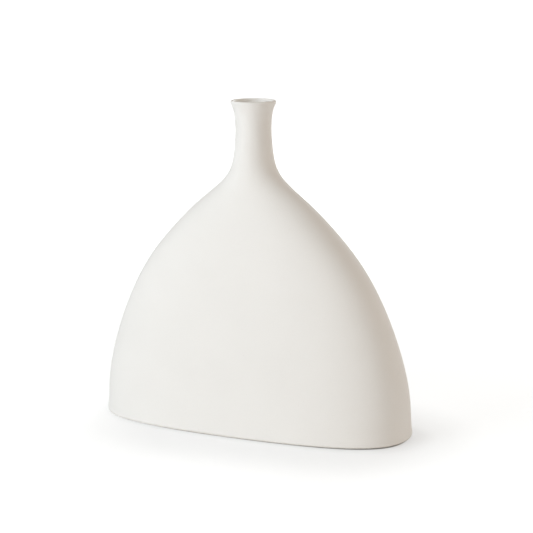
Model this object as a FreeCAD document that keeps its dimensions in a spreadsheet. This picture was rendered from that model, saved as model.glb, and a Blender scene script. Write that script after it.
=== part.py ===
import FreeCAD, Part
import Sketcher
import math
import os

# A flat pillow vase: one hollow ceramic body, long and thin in plan, that closes in an ogive to a round
# neck with a flared lip, and stands on four small clear bumpers stuck to its unglazed foot.
# Millimetres. +X runs along the length, +Y through the thickness, +Z up. The origin is on the surface
# that the vase stands on, under the middle of the neck.

SIZES = {
    # Ceramic body, outside
    "base_length": 304.0,
    "base_depth": 119.0,
    "body_height": 248.0,
    "neck_height": 50.8,
    "neck_root_diameter": 36.8,
    "neck_waist_diameter": 32.6,
    "lip_diameter": 40.8,
    "base_edge_radius": 2.0,
    # Ceramic body, inside
    "wall": 4.0,
    "neck_wall": 3.2,
    "lip_wall": 2.9,
    "floor_thickness": 5.0,
    "floor_corner_bevel": 6.0,
    # Underside of the body: a flat unglazed land round a shallow recess
    "foot_land_width": 12.0,
    "foot_recess_depth": 2.0,
    # Bumpers under the land
    "bumper_diameter": 9.0,
    "bumper_thickness": 1.2,
}

# Fullness of an oval: the share of its half length and half depth that the handles of its quarter
# curves reach. The first makes a circle, the second is the footprint's.
ROUND_SHARE = 4.0 / 3.0 * (math.sqrt(2.0) - 1.0)
FOOTPRINT_SHARE = 0.72

# Ovals of the body from the foot up. Each row has the oval's height as a share of the body's, then
# where its length, its depth and its fullness stand between the round neck root (0) and the footprint
# (1), and how many times the wall's thickness the sloping wall measures along the length and the depth.
BODY_SHARES = (
    (0.000, 1.000, 1.000, 1.0, 1.15, 1.20),
    (0.120, 0.984, 0.927, 1.0, 1.01, 1.01),
    (0.265, 0.936, 0.810, 1.0, 1.03, 1.01),
    (0.435, 0.826, 0.660, 1.0, 1.09, 1.01),
    (0.605, 0.653, 0.503, 1.0, 1.20, 1.01),
    (0.738, 0.446, 0.350, 0.8, 1.35, 1.02),
    (0.835, 0.256, 0.182, 0.4, 1.48, 1.04),
    (0.895, 0.119, 0.079, 0.1, 1.45, 1.03),
    (0.943, 0.038, 0.032, 0.0, 1.19, 1.01),
)

# Circles of the neck from its root up. Each row has the circle's height as a share of the neck's, then
# where its radius stands between the waist (0) and the root (1), and between the waist (0) and the lip
# (1).
NECK_SHARES = (
    (0.00, 1.00, 0.00),
    (0.26, 0.30, 0.00),
    (0.51, 0.00, 0.00),
    (0.72, 0.00, 0.16),
    (0.84, 0.00, 0.47),
    (0.93, 0.00, 0.90),
    (1.00, 0.00, 1.00),
)

# Small edges, as shares of what they soften: the round of the lip's wall and a bumper's bevel
LIP_ROUND_SHARE = 0.42
BUMPER_BEVEL_SHARE = 0.35

# A bumper sits where a quarter of the footprint is half drawn: this share of the way along the length
# and the depth
BUMPER_PLACE_SHARE = 0.5 + 0.375 * FOOTPRINT_SHARE

# How far out of level an edge may lie and still count as level
LEVEL_TOLERANCE = 1e-4

FOOT_LEVEL = "dims.bumper_thickness"
FLOOR_LEVEL = "dims.bumper_thickness + dims.foot_recess_depth + dims.floor_thickness"
ROOT_LEVEL = "dims.bumper_thickness + dims.body_height"

doc = FreeCAD.newDocument("pillow_vase")
sheet = doc.addObject("Spreadsheet::Sheet", "dims")
for row, (alias, value) in enumerate(SIZES.items(), start=1):
    sheet.set(f"A{row}", alias)
    sheet.set(f"B{row}", str(value))
    sheet.setAlias(f"B{row}", alias)
doc.recompute()


def between(share, low, high):
    """The size that stands at a share between two sizes, as an expression."""
    return f"({low}) + {share} * (({high}) - ({low}))"


def level_sketch(body, name, level):
    """An empty sketch that lies level at a height."""
    plane = next(item for item in body.Origin.OriginFeatures if item.Role == "XY_Plane")
    sketch = body.newObject("Sketcher::SketchObject", name)
    sketch.AttachmentSupport = [(plane, "")]
    sketch.MapMode = "FlatFace"
    sketch.setExpression(".AttachmentOffset.Base.z", level)
    return sketch


def hold(sketch, name, kind, point, expression):
    """Holds a point's distance from the sketch's middle to an expression."""
    number = sketch.addConstraint(Sketcher.Constraint(kind, -1, 1, *point, 1.0))
    sketch.renameConstraint(number, name)
    sketch.setExpression(f"Constraints.{name}", expression)


def mirror_quarter(sketch, near, far, axis, shared):
    """Makes a quarter's four poles mirror its neighbour's, which they share one of."""
    for place, (one, two) in enumerate(zip(near, far)):
        if place == shared:
            sketch.addConstraint(Sketcher.Constraint("Coincident", *one, *two))
        else:
            sketch.addConstraint(Sketcher.Constraint("Symmetric", *one, *two, axis))


def oval_sketch(body, name, level, half_length, half_depth, fullness):
    """A closed oval of four quarter curves that mirror each other, smooth where they meet."""
    sketch = level_sketch(body, name, level)
    corners = ((1.0, 0.0), (1.0, fullness), (fullness, 1.0), (0.0, 1.0))
    quarters = []
    for side_x, side_y in ((1, 1), (-1, 1), (-1, -1), (1, -1)):
        points = [FreeCAD.Vector(side_x * x, side_y * y, 0.0) for x, y in corners]
        steps = [1, 2, 3, 4]
        if side_x * side_y < 0:
            points.reverse()
            steps.reverse()
        curve = Part.BSplineCurve()
        curve.buildFromPolesMultsKnots(points, [4, 4], [0.0, 1.0], False, 3)
        number = sketch.addGeometry(curve, False)
        sketch.exposeInternalGeometry(number)
        quarters.append([(number + step, 3) for step in steps])
    first, second, third, fourth = quarters

    # The first quarter leaves both axes square, so that the oval has no corner there
    end, end_handle, face_handle, face = first
    sketch.addConstraint(Sketcher.Constraint("PointOnObject", *end, -1))
    sketch.addConstraint(Sketcher.Constraint("Vertical", *end, *end_handle))
    sketch.addConstraint(Sketcher.Constraint("Horizontal", *face_handle, *face))
    sketch.addConstraint(Sketcher.Constraint("PointOnObject", *face, -2))
    hold(sketch, "half_length", "DistanceX", end, half_length)
    hold(sketch, "half_depth", "DistanceY", face, half_depth)
    hold(sketch, "face_handle", "DistanceX", face_handle, f"{fullness} * ({half_length})")
    hold(sketch, "end_handle", "DistanceY", end_handle, f"{fullness} * ({half_depth})")

    # The others mirror it: the second across the depth's axis, the last two across the length's
    mirror_quarter(sketch, first, second, -2, 3)
    mirror_quarter(sketch, first, fourth, -1, 0)
    mirror_quarter(sketch, second[:3], third[:3], -1, 0)
    sketch.addConstraint(Sketcher.Constraint("Coincident", *third[3], *fourth[3]))
    return sketch


def wall_sections(body, side):
    """Circles of the neck and ovals of the body from the lip down, for either side of the wall."""
    inner = side == "inner"
    sections = []
    for number, row in enumerate(BODY_SHARES, start=1):
        height, length, depth, fullness, length_slant, depth_slant = row
        level = f"{FOOT_LEVEL} + {height} * dims.body_height"
        half_length = between(length, "dims.neck_root_diameter / 2", "dims.base_length / 2")
        half_depth = between(depth, "dims.neck_root_diameter / 2", "dims.base_depth / 2")
        if inner:
            level = FLOOR_LEVEL if number == 1 else level
            half_length += f" - {length_slant} * dims.wall"
            half_depth += f" - {depth_slant} * dims.wall"
        share = ROUND_SHARE + fullness * (FOOTPRINT_SHARE - ROUND_SHARE)
        sections.append(oval_sketch(body, f"{side}_oval_{number}", level, half_length, half_depth, share))
    for number, (height, root, lip) in enumerate(NECK_SHARES, start=1):
        level = f"{ROOT_LEVEL} + {height} * dims.neck_height"
        radius = "dims.neck_waist_diameter / 2"
        radius += f" + {root} * (dims.neck_root_diameter - dims.neck_waist_diameter) / 2"
        radius += f" + {lip} * (dims.lip_diameter - dims.neck_waist_diameter) / 2"
        if inner:
            radius += " - (" + between(lip, "dims.neck_wall", "dims.lip_wall") + ")"
        sections.append(oval_sketch(body, f"{side}_circle_{number}", level, radius, radius, ROUND_SHARE))
    sections.reverse()
    return sections


def add_loft(body, kind, name, sections):
    """A smooth skin through the sections, added to the body or taken out of it."""
    loft = body.newObject(kind, name)
    loft.Profile = (sections[0], [""])
    loft.Sections = [(section, [""]) for section in sections[1:]]
    doc.recompute()
    return loft


def soften(body, kind, name, base, level, size):
    """Rounds or bevels every edge of the body that lies level at a height."""
    edges = []
    for number, edge in enumerate(base.Shape.Edges, start=1):
        box = edge.BoundBox
        if abs(box.ZMin - level) < LEVEL_TOLERANCE and abs(box.ZMax - level) < LEVEL_TOLERANCE:
            edges.append(f"Edge{number}")
    feature = body.newObject(f"PartDesign::{kind}", name)
    feature.Base = (base, edges)
    feature.setExpression("Radius" if kind == "Fillet" else "Size", size)
    doc.recompute()
    return feature


def make_ceramic_body():
    """The vase itself, with its wall, floor and foot."""
    body = doc.addObject("PartDesign::Body", "ceramic_body")
    body.Label = "ceramic_body"
    outer_sections = wall_sections(body, "outer")
    outer = add_loft(body, "PartDesign::AdditiveLoft", "outer_form", outer_sections)
    rim_level = outer_sections[0].Placement.Base.z
    foot_level = outer_sections[-1].Placement.Base.z
    soften(body, "Fillet", "base_edge", outer, foot_level, "dims.base_edge_radius")

    inner_sections = wall_sections(body, "inner")
    cavity = add_loft(body, "PartDesign::SubtractiveLoft", "cavity", inner_sections)
    floor_level = inner_sections[-1].Placement.Base.z
    corner = soften(body, "Chamfer", "floor_corner", cavity, floor_level, "dims.floor_corner_bevel")
    soften(body, "Fillet", "lip_edges", corner, rim_level, f"{LIP_ROUND_SHARE} * dims.lip_wall")

    inset = "(dims.base_edge_radius + dims.foot_land_width)"
    half_length = f"dims.base_length / 2 - {inset}"
    half_depth = f"dims.base_depth / 2 - {inset}"
    recess_sketch = oval_sketch(body, "recess_oval", FOOT_LEVEL, half_length, half_depth, FOOTPRINT_SHARE)
    recess = body.newObject("PartDesign::Pocket", "foot_recess")
    recess.Profile = recess_sketch
    recess.Reversed = True
    recess.setExpression("Length", "dims.foot_recess_depth")
    doc.recompute()
    return body


def make_bumper(name, side_x, side_y):
    """A clear disc with a bevelled lower edge, stuck under the middle of the foot's land."""
    body = doc.addObject("PartDesign::Body", name)
    body.Label = name
    sketch = level_sketch(body, f"{name}_outline", "0 * dims.bumper_thickness")
    centre = FreeCAD.Vector(0.0, 0.0, 0.0)
    circle = sketch.addGeometry(Part.Circle(centre, FreeCAD.Vector(0.0, 0.0, 1.0), 1.0), False)
    sketch.addConstraint(Sketcher.Constraint("Coincident", circle, 3, -1, 1))
    number = sketch.addConstraint(Sketcher.Constraint("Diameter", circle, 2.0))
    sketch.renameConstraint(number, "diameter")
    sketch.setExpression("Constraints.diameter", "dims.bumper_diameter")
    disc = body.newObject("PartDesign::Pad", f"{name}_disc")
    disc.Profile = sketch
    disc.setExpression("Length", "dims.bumper_thickness")
    doc.recompute()
    soften(body, "Chamfer", f"{name}_edge", disc, 0.0, f"{BUMPER_BEVEL_SHARE} * dims.bumper_thickness")
    to_middle = "(dims.base_edge_radius + dims.foot_land_width / 2)"
    body.setExpression(".Placement.Base.x", f"{side_x * BUMPER_PLACE_SHARE} * (dims.base_length / 2 - {to_middle})")
    body.setExpression(".Placement.Base.y", f"{side_y * BUMPER_PLACE_SHARE} * (dims.base_depth / 2 - {to_middle})")
    return body


pieces = [make_ceramic_body()]
for side_y, face in ((-1, "front"), (1, "back")):
    for side_x, end in ((-1, "left"), (1, "right")):
        pieces.append(make_bumper(f"foot_bumper_{face}_{end}", side_x, side_y))
doc.recompute()

for item in doc.Objects:
    if "Invalid" in item.State or "Error" in item.State:
        raise RuntimeError(f"{item.Label} failed: {item.State}")
for piece in pieces:
    if piece.Shape.isNull() or not piece.Shape.isValid():
        raise RuntimeError(f"{piece.Label} has no valid shape")

os.makedirs("parts", exist_ok=True)
for piece in pieces:
    piece.Shape.exportStep(f"parts/{piece.Label}.step")
    print(piece.Label, len(piece.Shape.Solids), piece.Shape.BoundBox, round(piece.Shape.Volume, 1))
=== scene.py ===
import math

import bpy
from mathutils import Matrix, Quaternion, Vector


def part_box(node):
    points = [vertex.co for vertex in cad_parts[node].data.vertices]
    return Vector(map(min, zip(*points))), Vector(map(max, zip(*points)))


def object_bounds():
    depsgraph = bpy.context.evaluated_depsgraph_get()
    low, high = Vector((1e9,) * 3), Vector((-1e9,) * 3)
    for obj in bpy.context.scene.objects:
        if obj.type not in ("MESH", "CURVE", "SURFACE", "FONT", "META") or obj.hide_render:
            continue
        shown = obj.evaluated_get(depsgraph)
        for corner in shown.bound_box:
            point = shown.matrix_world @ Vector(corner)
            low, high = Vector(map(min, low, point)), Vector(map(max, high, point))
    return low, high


# A matte pillow vase on a white studio floor. Metres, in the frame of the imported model: +X along the
# length, +Y towards the back, +Z up, and the floor at zero.

# The photographed frame, and the lens in its pixels
FRAME_PIXELS = 533.0
FOCAL_PIXELS = 1672.4
SENSOR_WIDTH = 36.0

# Where the camera stands: degrees round the vase from the middle of its face, degrees above the
# horizon, and metres from the point at half the vase's height
CAMERA_TURN = 26.02
CAMERA_RISE = 11.21
CAMERA_DISTANCE = 1.532
# Where it points, in degrees off the line to that point, and how far it leans
AIM_TURN = -0.412
AIM_TILT = 0.093
CAMERA_LEAN = -0.417

# Soft lamps, all at one distance and of one size. Each has its name, its degrees round from the camera
# and above the horizon, its colour, and how bright it makes a white card that faces it. A window is on
# the left, and warmer light comes back from the room on the right.
LAMP_DISTANCE = 2.2
LAMP_WIDTH = 1.1
LAMP_HEIGHT = 1.0
DAYLIGHT = (0.925, 1.0, 1.055)
ROOM_LIGHT = (1.0, 0.942, 0.888)
DIM_ROOM_LIGHT = (1.0, 0.713, 0.426)
LAMPS = (
    ("window_left", -57.0, 15.0, DAYLIGHT, 0.482),
    ("window_high", -90.0, 45.0, DAYLIGHT, 0.123),
    ("overhead", -30.0, 80.0, DAYLIGHT, 0.099),
    ("fill_front", 7.0, 10.0, ROOM_LIGHT, 0.207),
    ("fill_right", 105.0, 14.0, ROOM_LIGHT, 0.254),
    ("back_low", 159.0, 10.0, DAYLIGHT, 0.293),
    ("back_high", 180.0, 45.0, DAYLIGHT, 0.057),
)
AMBIENT_COLOUR = DIM_ROOM_LIGHT
AMBIENT_STRENGTH = 0.171

# What the camera sees past the floor
WHITE = (1.0, 1.0, 1.0)

# The floor is a plain pale one for the light. The camera sees it darker but glowing, so that it comes out
# white with a faint shadow, partly cast by the lamps and partly painted shade in the glow.
FLOOR_REACH = 40.0
FLOOR_COLOUR = (0.86, 0.86, 0.86)
SEEN_FLOOR_COLOUR = (0.39, 0.39, 0.39)

# The glow grows with the distance from a line under the vase, which runs along its length, a little off
# from the window, so that less glow near the vase is painted shade on the floor. The lengths are in metres.
GLOW_COLOUR = (0.990, 1.001, 1.004)
GLOW_NEAR_VASE = 0.613
GLOW_BESIDE_VASE = 0.786
GLOW_FAR_OFF = 1.10
SHADE_HALF_LENGTH = 0.0579
SHADE_SHIFT = (0.0211, -0.0123)
SHADE_EDGES = (0.0591, 0.1495)
WHITE_REACH = 1.0

# The foot's plan is nearly a rounded box of this squareness. Its plan value is 1 on its outline.
FOOT_SQUARENESS = 2.62
# The share of the glow that gets under the foot, where the missing glow is painted shade in the gap, and the
# plan value from which the floor has its full share, over a narrow edge. Each changes from one place to
# another, in half lengths of the foot.
UNDER_SHARES = (0.67, 0.09)
UNDER_PLACES = (-1.0, 1.15)
UNDER_PLANS = (0.80, 0.93)
UNDER_PLAN_PLACES = (0.3, 1.0)
UNDER_EDGE = 0.05
# The painted light in the gap under the foot is tinted as if it had come off the clay
PAINTED_GAP_LIGHT_COLOUR = (1.0, 0.93, 0.82)
# The share of the glow right beside the foot, where less glow is a painted contact shadow, which changes
# from one place to another too, and the plan value where the glow is whole again
CONTACT_SHARES = (0.967, 0.877)
CONTACT_PLACES = (0.2, 1.0)
CONTACT_REACH = 1.52

# Finishes: the glazed outside, the glaze inside, the bare clay, the pinholes in both and the clear bumpers
GLAZE_COLOUR = (0.893, 0.889, 0.872)
# The inside glaze is whiter than the outside, partly its own colour and partly painted light that brightens
# the mouth
INSIDE_COLOUR = (0.955, 0.950, 0.930)
CLAY_COLOUR = (0.88, 0.862, 0.825)
PINHOLE_COLOUR = (0.45, 0.40, 0.33)
BUMPER_COLOUR = (0.82, 0.83, 0.82)

# The bare clay ends this far above the foot, and a ragged edge this wide joins it to the glaze
BARE_HEIGHT = 0.0012
RAGGED_EDGE = 0.0009
# The glaze is thin on the crest of the lip, over this height
THIN_LIP_HEIGHT = 0.0016
THIN_SHARE = 0.25
# The product, in plan, of the way that the skin faces and its place in metres: the skin is the inside one
# below the first value and the outside one above the second
INSIDE_EDGE = (-0.006, -0.001)

# The lowest and highest tone that the noises reach
TONES = (0.2, 0.8)
# How the fine grain and the slow clouds are broken up
GRAIN_NOISE = (("Detail", 3.0), ("Roughness", 0.6))
CLOUD_NOISE = (("Detail", 2.0), ("Roughness", 0.45))
# Where a pinhole's rim begins and ends, in cells from the middle of its cell
PINHOLE_RIM = (0.03, 0.07)

# Glaze: its grain and clouds in metres, how far each darkens and lightens it, how much of a pinhole's
# colour shows, how rough it is, and how much rougher the bare clay and smoother the inside are
GLAZE_GRAIN = (("Grain Size", 0.0007), ("Grain Depth", 0.000012), ("Pinhole Size", 0.007))
GLAZE_CLOUD = (("Cloud Size", 0.045), ("Cloud Depth", 0.0001))
GLAZE_CLOUD_TINT = (0.992, 1.008)
GLAZE_GRAIN_TINT = (0.985, 1.015)
PINHOLE_SHARE = 0.12
GLAZE_ROUGHNESS = (0.68, 0.80)
CLAY_ROUGHER = 0.15
INSIDE_SMOOTHER = 0.25
GLAZE_SPECULAR = 0.35
GLAZE_IOR = 1.5

# Bumpers: the same for their clear elastomer
BUMPER_GRAIN = (("Grain Size", 0.0004), ("Grain Depth", 0.000006), ("Pinhole Size", 0.002))
BUMPER_CLOUD = (("Cloud Size", 0.006), ("Cloud Depth", 0.00002))
BUMPER_TINT = (0.96, 1.03)
BUMPER_ROUGHNESS = (0.22, 0.42)
BUMPER_CLEARNESS = 0.7
BUMPER_IOR = 1.46


class Tree:
    """Short calls that add and join the nodes of a material, a group or the world."""

    def __init__(self, tree):
        self.tree = tree
        self.tree.nodes.clear()

    def feed(self, socket, value):
        """Joins an output to a socket, or sets the socket's own value."""
        if isinstance(value, bpy.types.NodeSocket):
            self.tree.links.new(value, socket)
        else:
            socket.default_value = value

    def add(self, kind, inputs=(), **settings):
        """A node with its settings, and its inputs as (name or number, value or output) pairs."""
        node = self.tree.nodes.new(kind)
        for name, value in settings.items():
            setattr(node, name, value)
        for key, value in inputs:
            self.feed(node.inputs[key], value)
        return node

    def math(self, operation, *values, clamp=False):
        """The result of one sum."""
        return self.add("ShaderNodeMath", enumerate(values), operation=operation, use_clamp=clamp).outputs[0]

    def ramp(self, value, low, high, start=0.0, end=1.0):
        """A value or output that goes smoothly from start to end while another goes from low to high."""
        pairs = (("Value", value), ("From Min", low), ("From Max", high), ("To Min", start), ("To Max", end))
        return self.add("ShaderNodeMapRange", pairs, interpolation_type="SMOOTHSTEP").outputs[0]

    def mix(self, factor, first, second):
        """A colour between two colours."""
        node = self.add("ShaderNodeMix", data_type="RGBA")
        sockets = [socket for socket in node.inputs if socket.enabled]
        for socket, value in zip(sockets, (factor, first, second)):
            self.feed(socket, value)
        return next(socket for socket in node.outputs if socket.enabled)

    def group(self, effect, inputs):
        """The outputs of a shared effect, placed with its own values."""
        return self.add("ShaderNodeGroup", inputs, node_tree=effect).outputs


def rgba(rgb):
    """A colour with full alpha."""
    return (*rgb, 1.0)


def direction(turn, rise):
    """The way from the vase to a place turn degrees round it and rise degrees above the horizon."""
    turn, rise = math.radians(turn), math.radians(rise)
    return Vector((math.sin(turn) * math.cos(rise), -math.cos(turn) * math.cos(rise), math.sin(rise)))


def place(name, data, target, distance, back):
    """An object that stands back from the target and faces it."""
    thing = bpy.data.objects.new(name, data)
    bpy.context.scene.collection.objects.link(thing)
    thing.location = target + distance * back
    thing.rotation_mode = "QUATERNION"
    thing.rotation_quaternion = back.to_track_quat("Z", "Y")
    return thing


def make_camera(target):
    """The camera that sees the vase as it was photographed."""
    data = bpy.data.cameras.new("camera")
    data.sensor_width = SENSOR_WIDTH
    data.lens = FOCAL_PIXELS * SENSOR_WIDTH / FRAME_PIXELS
    camera = place("camera", data, target, CAMERA_DISTANCE, direction(CAMERA_TURN, CAMERA_RISE))
    aim = direction(CAMERA_TURN + AIM_TURN, CAMERA_RISE + AIM_TILT).to_track_quat("Z", "Y")
    camera.rotation_quaternion = aim @ Quaternion((0.0, 0.0, 1.0), math.radians(CAMERA_LEAN))
    bpy.context.scene.camera = camera


def make_lamp(target, name, turn, rise, colour, strength):
    """A soft rectangular lamp that faces the vase."""
    data = bpy.data.lights.new(name, "AREA")
    data.shape = "RECTANGLE"
    data.size = LAMP_WIDTH
    data.size_y = LAMP_HEIGHT
    data.color = colour
    # The power that makes a white card at the target this bright
    data.energy = strength * math.pi ** 2 * LAMP_DISTANCE ** 2
    place(name, data, target, LAMP_DISTANCE, direction(CAMERA_TURN + turn, rise))


def seen_directly(tree):
    """One for what the camera sees itself, in a reflection or through a clear piece, and zero for light."""
    path = tree.add("ShaderNodeLightPath")
    seen = tree.math("MAXIMUM", path.outputs["Is Camera Ray"], path.outputs["Is Glossy Ray"])
    return tree.math("MAXIMUM", seen, path.outputs["Is Transmission Ray"])


def make_world():
    """Even light from all round, and plain white beyond the floor."""
    world = bpy.data.worlds.new("studio")
    world.use_nodes = True
    tree = Tree(world.node_tree)
    pairs = (("Color", rgba(AMBIENT_COLOUR)), ("Strength", AMBIENT_STRENGTH))
    ambient = tree.add("ShaderNodeBackground", pairs)
    white = tree.add("ShaderNodeBackground", (("Color", rgba(WHITE)), ("Strength", 1.0)))
    sockets = ((0, seen_directly(tree)), (1, ambient.outputs[0]), (2, white.outputs[0]))
    mix = tree.add("ShaderNodeMixShader", sockets)
    tree.add("ShaderNodeOutputWorld", (("Surface", mix.outputs[0]),))
    bpy.context.scene.world = world


def shade_distance(tree, x, y):
    """How far a place on the floor lies from the line that the painted shade round the vase spreads from."""
    along = tree.math("ABSOLUTE", tree.math("SUBTRACT", x, SHADE_SHIFT[0]))
    along = tree.math("MAXIMUM", tree.math("SUBTRACT", along, SHADE_HALF_LENGTH), 0.0)
    across = tree.math("SUBTRACT", y, SHADE_SHIFT[1])
    squares = [tree.math("MULTIPLY", part, part) for part in (along, across)]
    return tree.math("SQRT", tree.math("ADD", *squares))


def foot_plan(tree, x, y, foot):
    """A value below 1 under the foot, and above 1 beside it."""
    shares = []
    for axis, half in zip((x, y), foot):
        share = tree.math("DIVIDE", tree.math("ABSOLUTE", axis), half)
        shares.append(tree.math("POWER", share, FOOT_SQUARENESS))
    return tree.math("ADD", *shares)


def floor_glow(tree, foot):
    """How brightly the floor glows, least under the foot and most far off, and in which colour: its dips are
    painted shade.
    """
    position = tree.add("ShaderNodeNewGeometry").outputs["Position"]
    x, y, _ = tree.add("ShaderNodeSeparateXYZ", ((0, position),)).outputs
    away = shade_distance(tree, x, y)
    shade_from, shade_to = SHADE_EDGES
    # Less glow near the vase paints a soft shade round it
    painted_shade_glow = tree.ramp(away, shade_from, shade_to, GLOW_NEAR_VASE, GLOW_BESIDE_VASE)
    far = tree.ramp(away, shade_to, WHITE_REACH, 0.0, GLOW_FAR_OFF - GLOW_BESIDE_VASE)
    glow = tree.math("ADD", painted_shade_glow, far)

    plan = foot_plan(tree, x, y, foot)
    along = tree.math("DIVIDE", x, foot[0])
    # Less glow under the foot paints the dark shade in the gap
    under = tree.ramp(along, *UNDER_PLACES, *UNDER_SHARES)
    edge = tree.ramp(along, *UNDER_PLAN_PLACES, *UNDER_PLANS)
    past_edge = tree.ramp(plan, edge, tree.math("ADD", edge, UNDER_EDGE))
    # Less glow right beside the foot paints a contact shadow
    painted_contact_shade = tree.ramp(along, *CONTACT_PLACES, *CONTACT_SHARES)
    beside = tree.ramp(plan, 1.0, CONTACT_REACH, painted_contact_shade, 1.0)
    glow = tree.math("MULTIPLY", glow, tree.math("MAXIMUM", past_edge, under))
    # Painted light in the gap takes the clay's tint
    colour = tree.mix(past_edge, rgba(PAINTED_GAP_LIGHT_COLOUR), rgba(GLOW_COLOUR))
    return tree.math("MULTIPLY", glow, beside), colour


def make_floor(foot):
    """A wide white floor that keeps the vase's shadow, with painted shade in its glow, under a foot of this
    half length and half depth.
    """
    mesh = bpy.data.meshes.new("floor")
    ways = ((-1, -1), (1, -1), (1, 1), (-1, 1))
    corners = [(x * FLOOR_REACH, y * FLOOR_REACH, 0.0) for x, y in ways]
    mesh.from_pydata(corners, [], [(0, 1, 2, 3)])
    floor = bpy.data.objects.new("floor", mesh)
    bpy.context.scene.collection.objects.link(floor)

    material, tree = new_material("white_floor")
    seen = seen_directly(tree)
    glow, glow_colour = floor_glow(tree, foot)
    glow = tree.math("MULTIPLY", glow, seen)
    light = tree.add("ShaderNodeEmission", (("Color", glow_colour), ("Strength", glow)))
    colour = tree.mix(seen, rgba(FLOOR_COLOUR), rgba(SEEN_FLOOR_COLOUR))
    matte = tree.add("ShaderNodeBsdfDiffuse", (("Color", colour),))
    both = tree.add("ShaderNodeAddShader", ((0, matte.outputs[0]), (1, light.outputs[0])))
    tree.add("ShaderNodeOutputMaterial", (("Surface", both.outputs[0]),))
    mesh.materials.append(material)


def new_group(name, inputs, outputs):
    """An empty shared effect with named inputs and outputs, and its first and last nodes."""
    group = bpy.data.node_groups.new(name, "ShaderNodeTree")
    for label, kind in inputs:
        group.interface.new_socket(label, in_out="INPUT", socket_type=kind)
    for label in outputs:
        group.interface.new_socket(label, in_out="OUTPUT", socket_type="NodeSocketFloat")
    tree = Tree(group)
    given = tree.add("NodeGroupInput").outputs
    result = tree.add("NodeGroupOutput").inputs
    return tree, given, result


def make_grain():
    """Powdery grain with sparse pinholes: a tone from 0 to 1 round a half, and a height in metres."""
    inputs = (
        ("Place", "NodeSocketVector"),
        ("Grain Size", "NodeSocketFloat"),
        ("Grain Depth", "NodeSocketFloat"),
        ("Pinhole Size", "NodeSocketFloat"),
    )
    tree, given, result = new_group("powder_grain", inputs, ("Tone", "Pinholes", "Height"))
    scale = tree.math("DIVIDE", 1.0, given["Grain Size"])
    pairs = (("Vector", given["Place"]), ("Scale", scale), *GRAIN_NOISE)
    noise = tree.add("ShaderNodeTexNoise", pairs).outputs["Fac"]
    cell_scale = tree.math("DIVIDE", 1.0, given["Pinhole Size"])
    pairs = (("Vector", given["Place"]), ("Scale", cell_scale), ("Randomness", 1.0))
    cells = tree.add("ShaderNodeTexVoronoi", pairs).outputs["Distance"]
    holes = tree.ramp(cells, *PINHOLE_RIM, 1.0, 0.0)
    relief = tree.math("SUBTRACT", tree.math("SUBTRACT", noise, 0.5), holes)
    tree.feed(result["Tone"], noise)
    tree.feed(result["Pinholes"], holes)
    tree.feed(result["Height"], tree.math("MULTIPLY", relief, given["Grain Depth"]))
    return tree.tree


def make_cloud():
    """The slow, soft unevenness that hands, a mould and a kiln leave: a tone and a height in metres."""
    inputs = (
        ("Place", "NodeSocketVector"),
        ("Cloud Size", "NodeSocketFloat"),
        ("Cloud Depth", "NodeSocketFloat"),
    )
    tree, given, result = new_group("soft_cloud", inputs, ("Tone", "Height"))
    scale = tree.math("DIVIDE", 1.0, given["Cloud Size"])
    pairs = (("Vector", given["Place"]), ("Scale", scale), *CLOUD_NOISE)
    noise = tree.add("ShaderNodeTexNoise", pairs).outputs["Fac"]
    relief = tree.math("SUBTRACT", noise, 0.5)
    tree.feed(result["Tone"], noise)
    tree.feed(result["Height"], tree.math("MULTIPLY", relief, given["Cloud Depth"]))
    return tree.tree


def new_material(name):
    """A material with no nodes yet, and the calls that add them."""
    material = bpy.data.materials.new(name)
    material.use_nodes = True
    return material, Tree(material.node_tree)


def add_relief(tree, effects, spot, grain_values, cloud_values):
    """The shared grain and clouds on a surface: the outputs of each, and the bumps that both make."""
    grain, cloud = effects
    fine = tree.group(grain, (("Place", spot), *grain_values))
    slow = tree.group(cloud, (("Place", spot), *cloud_values))
    height = tree.math("ADD", fine["Height"], slow["Height"])
    bump = tree.add("ShaderNodeBump", (("Height", height), ("Strength", 1.0), ("Distance", 1.0)))
    return fine, slow, bump.outputs[0]


def tinted(tree, colour, tone, low, high):
    """A colour made darker or lighter by a tone that moves between two levels."""
    level = tree.ramp(tone, *TONES, low, high)
    return tree.add("ShaderNodeVectorMath", ((0, colour), ("Scale", level)), operation="SCALE").outputs[0]


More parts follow.
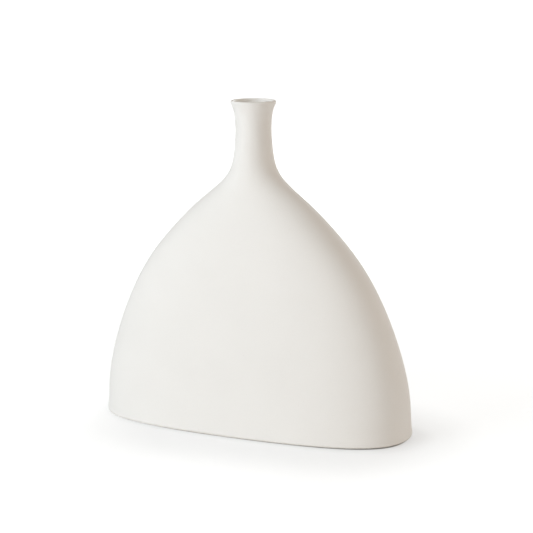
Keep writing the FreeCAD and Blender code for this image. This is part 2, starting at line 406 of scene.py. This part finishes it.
def vase_finish(effects, low, high):
    """Matte off-white glaze, glossier inside and thin on the lip, with bare clay at the foot."""
    material, tree = new_material("matte_glazed_stoneware")
    normal = tree.add("ShaderNodeNewGeometry").outputs["Normal"]
    spot = tree.add("ShaderNodeTexCoord").outputs["Object"]
    x, y, z = tree.add("ShaderNodeSeparateXYZ", ((0, spot),)).outputs
    facing_x, facing_y, _ = tree.add("ShaderNodeSeparateXYZ", ((0, normal),)).outputs
    fine, slow, bump = add_relief(tree, effects, spot, GLAZE_GRAIN, GLAZE_CLOUD)

    # The inside faces the middle of the vase
    outward = tree.math("ADD", tree.math("MULTIPLY", facing_x, x), tree.math("MULTIPLY", facing_y, y))
    inside = tree.ramp(outward, *INSIDE_EDGE, 1.0, 0.0)

    # The glaze stops in a ragged line just above the foot
    ragged = tree.math("MULTIPLY", tree.math("SUBTRACT", slow["Tone"], 0.5), RAGGED_EDGE)
    line = tree.math("ADD", z, ragged)
    bare = tree.ramp(line, low.z + BARE_HEIGHT, low.z + BARE_HEIGHT + RAGGED_EDGE, 1.0, 0.0)
    bare = tree.math("MULTIPLY", bare, tree.math("SUBTRACT", 1.0, inside))
    crest = tree.ramp(z, high.z - THIN_LIP_HEIGHT, high.z, 0.0, THIN_SHARE)
    clay = tree.math("MAXIMUM", bare, crest)

    # The whiter inside is partly painted light
    colour = tree.mix(inside, rgba(GLAZE_COLOUR), rgba(INSIDE_COLOUR))
    colour = tree.mix(clay, colour, rgba(CLAY_COLOUR))
    colour = tinted(tree, colour, slow["Tone"], *GLAZE_CLOUD_TINT)
    colour = tinted(tree, colour, fine["Tone"], *GLAZE_GRAIN_TINT)
    pinholes = tree.math("MULTIPLY", fine["Pinholes"], PINHOLE_SHARE)
    colour = tree.mix(pinholes, colour, rgba(PINHOLE_COLOUR))

    roughness = tree.ramp(fine["Tone"], *TONES, *GLAZE_ROUGHNESS)
    roughness = tree.math("ADD", roughness, tree.math("MULTIPLY", clay, CLAY_ROUGHER))
    smoother = tree.math("MULTIPLY", inside, INSIDE_SMOOTHER)
    roughness = tree.math("SUBTRACT", roughness, smoother, clamp=True)

    pairs = (
        ("Base Color", colour), ("Roughness", roughness), ("Normal", bump),
        ("Specular IOR Level", GLAZE_SPECULAR), ("IOR", GLAZE_IOR),
    )
    shader = tree.add("ShaderNodeBsdfPrincipled", pairs)
    tree.add("ShaderNodeOutputMaterial", (("Surface", shader.outputs[0]),))
    return material


def bumper_finish(effects):
    """Clear, slightly hazy elastomer, scuffed by the table."""
    material, tree = new_material("clear_bumper")
    spot = tree.add("ShaderNodeTexCoord").outputs["Object"]
    fine, slow, bump = add_relief(tree, effects, spot, BUMPER_GRAIN, BUMPER_CLOUD)
    colour = tinted(tree, BUMPER_COLOUR, slow["Tone"], *BUMPER_TINT)
    roughness = tree.ramp(fine["Tone"], *TONES, *BUMPER_ROUGHNESS)
    pairs = (
        ("Base Color", colour), ("Roughness", roughness), ("Normal", bump),
        ("Transmission Weight", BUMPER_CLEARNESS), ("IOR", BUMPER_IOR), ("Metallic", 0.0),
    )
    shader = tree.add("ShaderNodeBsdfPrincipled", pairs)
    tree.add("ShaderNodeOutputMaterial", (("Surface", shader.outputs[0]),))
    return material


def dress(node, material):
    """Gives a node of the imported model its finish."""
    if node.material_slots:
        node.material_slots[0].material = material
    else:
        node.data.materials.append(material)


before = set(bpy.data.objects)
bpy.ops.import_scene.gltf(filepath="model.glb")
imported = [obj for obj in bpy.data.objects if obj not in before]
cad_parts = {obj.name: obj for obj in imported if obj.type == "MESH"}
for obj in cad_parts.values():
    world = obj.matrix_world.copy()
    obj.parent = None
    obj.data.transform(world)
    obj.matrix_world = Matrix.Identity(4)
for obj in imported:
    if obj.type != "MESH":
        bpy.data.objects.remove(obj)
cad_low, cad_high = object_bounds()
bpy.context.scene.view_settings.view_transform = "Standard"

middle = Vector((0.0, 0.0, (cad_low.z + cad_high.z) / 2.0))
make_camera(middle)
for lamp in LAMPS:
    make_lamp(middle, *lamp)
make_world()
make_floor((cad_high.x, cad_high.y))

shared_effects = (make_grain(), make_cloud())
vase_material = vase_finish(shared_effects, *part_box("ceramic_body"))
bumper_material = bumper_finish(shared_effects)
for name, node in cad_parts.items():
    dress(node, vase_material if name == "ceramic_body" else bumper_material)
